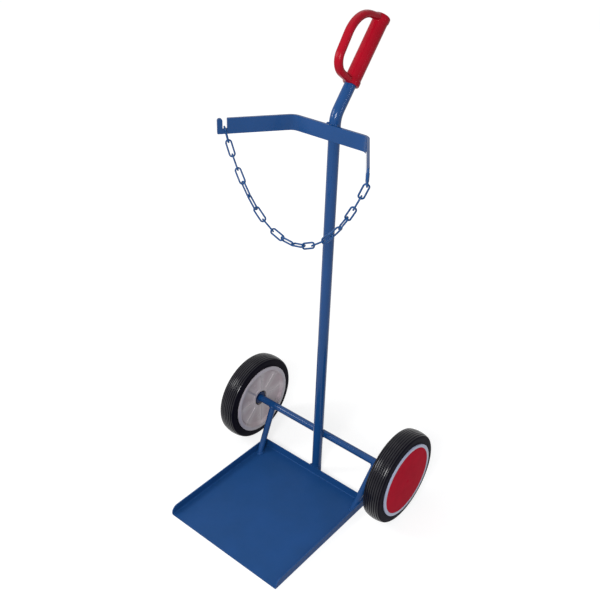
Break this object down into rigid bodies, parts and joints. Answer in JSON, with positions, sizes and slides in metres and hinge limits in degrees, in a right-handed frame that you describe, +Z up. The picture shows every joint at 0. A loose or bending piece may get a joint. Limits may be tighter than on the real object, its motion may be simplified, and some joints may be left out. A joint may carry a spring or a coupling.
{
  "type": "gas cylinder trolley",
  "caption": "Upright single gas cylinder trolley with a lipped load tray, bent tube column, V-shaped neck bracket with retaining chain, hand-loop grip and rubber-tyred wheels.",
  "frame": {"origin": "centre of the load plate's underside, on the floor", "axes": "+Z up; -Y towards the load plate's open front edge, +Y towards the column and axle; +X along the axle, to the right seen from the front"},
  "size_m": [0.559, 0.5446, 1.2363],
  "materials": {
    "blue_coat": "gloss powder coat",
    "red_grip": "gloss",
    "red_cap": "matt",
    "grey_hub": "satin",
    "tyre": "ribbed solid rubber",
    "bearing_steel": "ground",
    "cage_plastic": "moulded",
    "zinc_steel": "zinc plated"
  },
  "bodies": {
    "frame": {"load_plate": "blue_coat", "column_tube": "blue_coat", "neck_bracket": "blue_coat", "handle_grip": "red_grip", "axle_bar": "blue_coat", "strut_left": "blue_coat", "strut_right": "blue_coat", "axle_collar_left": "blue_coat", "axle_washer_left": "zinc_steel", "split_pin_left": "zinc_steel", "axle_collar_right": "blue_coat", "axle_washer_right": "zinc_steel", "split_pin_right": "zinc_steel", "chain_link_01": "blue_coat", "chain_link_20": "blue_coat"},
    "wheel_left": {"tyre_left": "tyre", "wheel_hub_left": "grey_hub", "hub_cap_left": "red_cap", "bearing_sleeve_left": "bearing_steel"},
    "bearing_left": {"roller_cage_left": "cage_plastic", "bearing_rollers_left": "bearing_steel"},
    "wheel_right": {"tyre_right": "tyre", "wheel_hub_right": "grey_hub", "hub_cap_right": "red_cap", "bearing_sleeve_right": "bearing_steel"},
    "bearing_right": {"roller_cage_right": "cage_plastic", "bearing_rollers_right": "bearing_steel"},
    "chain": {"chain_link_02": "blue_coat", "chain_link_03": "blue_coat", "chain_link_04": "blue_coat", "chain_link_05": "blue_coat", "chain_link_06": "blue_coat", "chain_link_07": "blue_coat", "chain_link_08": "blue_coat", "chain_link_09": "blue_coat", "chain_link_10": "blue_coat", "chain_link_11": "blue_coat", "chain_link_12": "blue_coat", "chain_link_13": "blue_coat", "chain_link_14": "blue_coat", "chain_link_15": "blue_coat", "chain_link_16": "blue_coat", "chain_link_17": "blue_coat", "chain_link_18": "blue_coat", "chain_link_19": "blue_coat"}
  },
  "joints": [
    {"name": "wheel_left_spin", "type": "hinge", "parent": "frame", "child": "wheel_left", "pos_m": [-0.2495, 0.21595, 0.127], "axis": [1, 0, 0], "continuous": true},
    {"name": "bearing_left_spin", "type": "hinge", "parent": "frame", "child": "bearing_left", "pos_m": [-0.2495, 0.21595, 0.127], "axis": [1, 0, 0], "continuous": true},
    {"name": "wheel_right_spin", "type": "hinge", "parent": "frame", "child": "wheel_right", "pos_m": [0.2495, 0.21595, 0.127], "axis": [1, 0, 0], "continuous": true},
    {"name": "bearing_right_spin", "type": "hinge", "parent": "frame", "child": "bearing_right", "pos_m": [0.2495, 0.21595, 0.127], "axis": [1, 0, 0], "continuous": true},
    {"name": "chain_swing", "type": "hinge", "parent": "frame", "child": "chain", "pos_m": [-0.18727, 0.05842, 0.96107], "axis": [0.9964, -0.0664, 0.0529], "range_deg": [-15, 18]}
  ],
  "couplings": [
    {"joint": "bearing_left_spin", "follows": "wheel_left_spin", "ratio": 0.6},
    {"joint": "bearing_right_spin", "follows": "wheel_right_spin", "ratio": 0.6}
  ]
}
